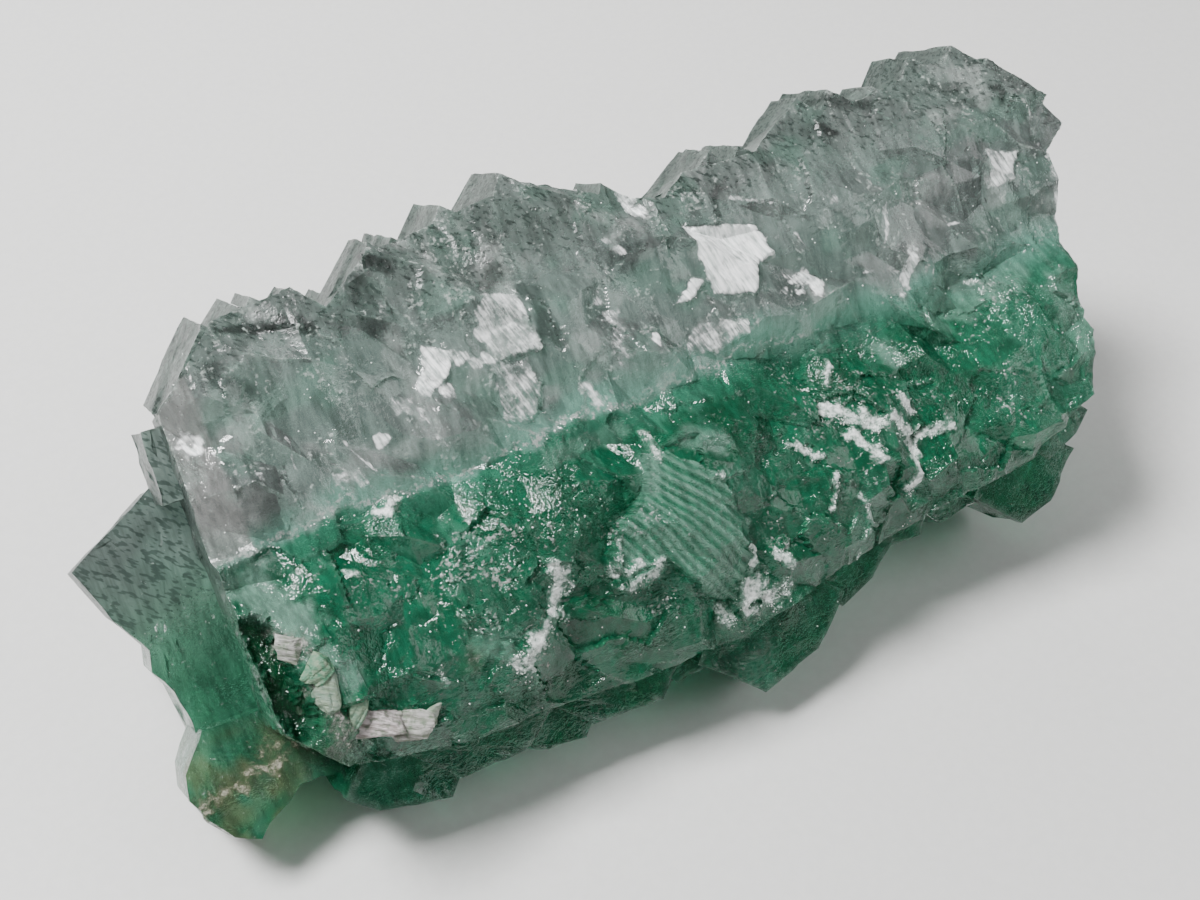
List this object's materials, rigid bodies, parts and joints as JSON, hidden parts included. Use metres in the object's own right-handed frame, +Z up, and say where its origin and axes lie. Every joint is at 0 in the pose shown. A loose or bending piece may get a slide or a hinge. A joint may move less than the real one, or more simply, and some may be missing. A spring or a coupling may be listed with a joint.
{
  "type": "cubic crystal cluster",
  "caption": "Cluster of intergrown cubic crystals, clear at the growing tips and green at the base, broken open along one side and lying on its back.",
  "frame": {"origin": "middle of the bounding box in plan, on the plane of the resting flat", "axes": "+X along the length of the cluster, towards its fuller end; +Z up as it rests; -Y towards the side that the broken face looks to, so the clear growing tips point to +Y and +Z"},
  "size_m": [0.126, 0.065, 0.0525],
  "materials": {
    "crystal": "frosted clear growth over emerald green, translucent, with a low polish on the cube faces",
    "crust": "matte, powdery white grains"
  },
  "bodies": {
    "root": {"crystal_cluster": "crystal"}
  },
  "joints": []
}
